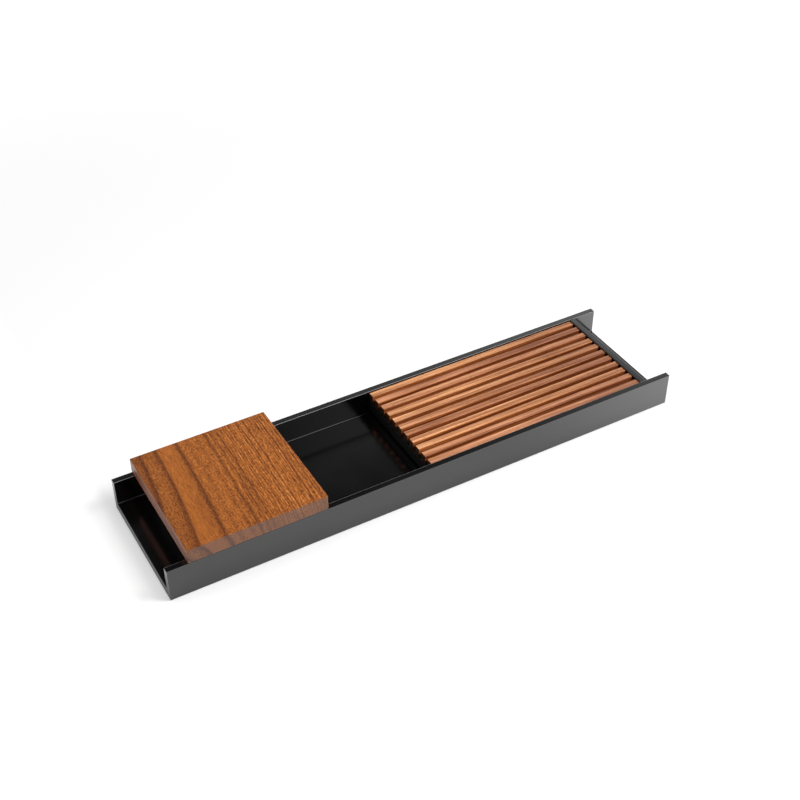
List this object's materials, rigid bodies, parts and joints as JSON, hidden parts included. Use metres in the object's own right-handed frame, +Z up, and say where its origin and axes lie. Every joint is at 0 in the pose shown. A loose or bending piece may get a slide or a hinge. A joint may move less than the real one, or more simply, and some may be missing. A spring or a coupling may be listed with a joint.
{
  "type": "desk tray with envelope sorter",
  "caption": "Long black desk tray with a slatted wooden rack whose slots hold cards and envelopes upright, and a square wooden cover block that slides along the side walls.",
  "frame": {"origin": "on the desk surface, under the middle of the tray", "axes": "+X along the tray from the cover block towards the slat rack, +Y to the rear wall, +Z up"},
  "size_m": [0.4, 0.0994, 0.0385],
  "materials": {
    "black_metal": "satin black coating",
    "screw_steel": "blackened",
    "walnut_block": "oiled, satin",
    "walnut_batten": "raw, sanded",
    "walnut_slat": "oiled, satin",
    "glide": "smooth",
    "felt": "pressed felt",
    "rubber": "matt"
  },
  "bodies": {
    "tray": {"tray_channel": "black_metal", "end_wall_left": "black_metal", "end_wall_right": "black_metal", "end_wall_screws": "screw_steel", "foot_pad_1": "rubber", "foot_pad_2": "rubber", "foot_pad_3": "rubber", "foot_pad_4": "rubber"},
    "rack": {"rack_carrier": "black_metal", "rack_felt_left": "felt", "rack_felt_right": "felt", "rack_screws": "screw_steel", "rack_slat_01": "walnut_slat", "rack_slat_02": "walnut_slat", "rack_slat_03": "walnut_slat", "rack_slat_04": "walnut_slat", "rack_slat_05": "walnut_slat", "rack_slat_06": "walnut_slat", "rack_slat_07": "walnut_slat", "rack_slat_08": "walnut_slat", "rack_slat_09": "walnut_slat", "rack_slat_10": "walnut_slat", "rack_slat_11": "walnut_slat"},
    "cover": {"cover_block": "walnut_block", "cover_batten_front": "walnut_batten", "cover_batten_rear": "walnut_batten", "cover_glide_front": "glide", "cover_glide_rear": "glide", "cover_screws": "screw_steel"}
  },
  "joints": [
    {"name": "cover_slide", "type": "slide", "parent": "tray", "child": "cover", "axis": [1, 0, 0], "range_m": [0, 0.0818]},
    {"name": "rack_lift", "type": "slide", "parent": "tray", "child": "rack", "axis": [0, 0, 1], "range_m": [0, 0.045]}
  ]
}
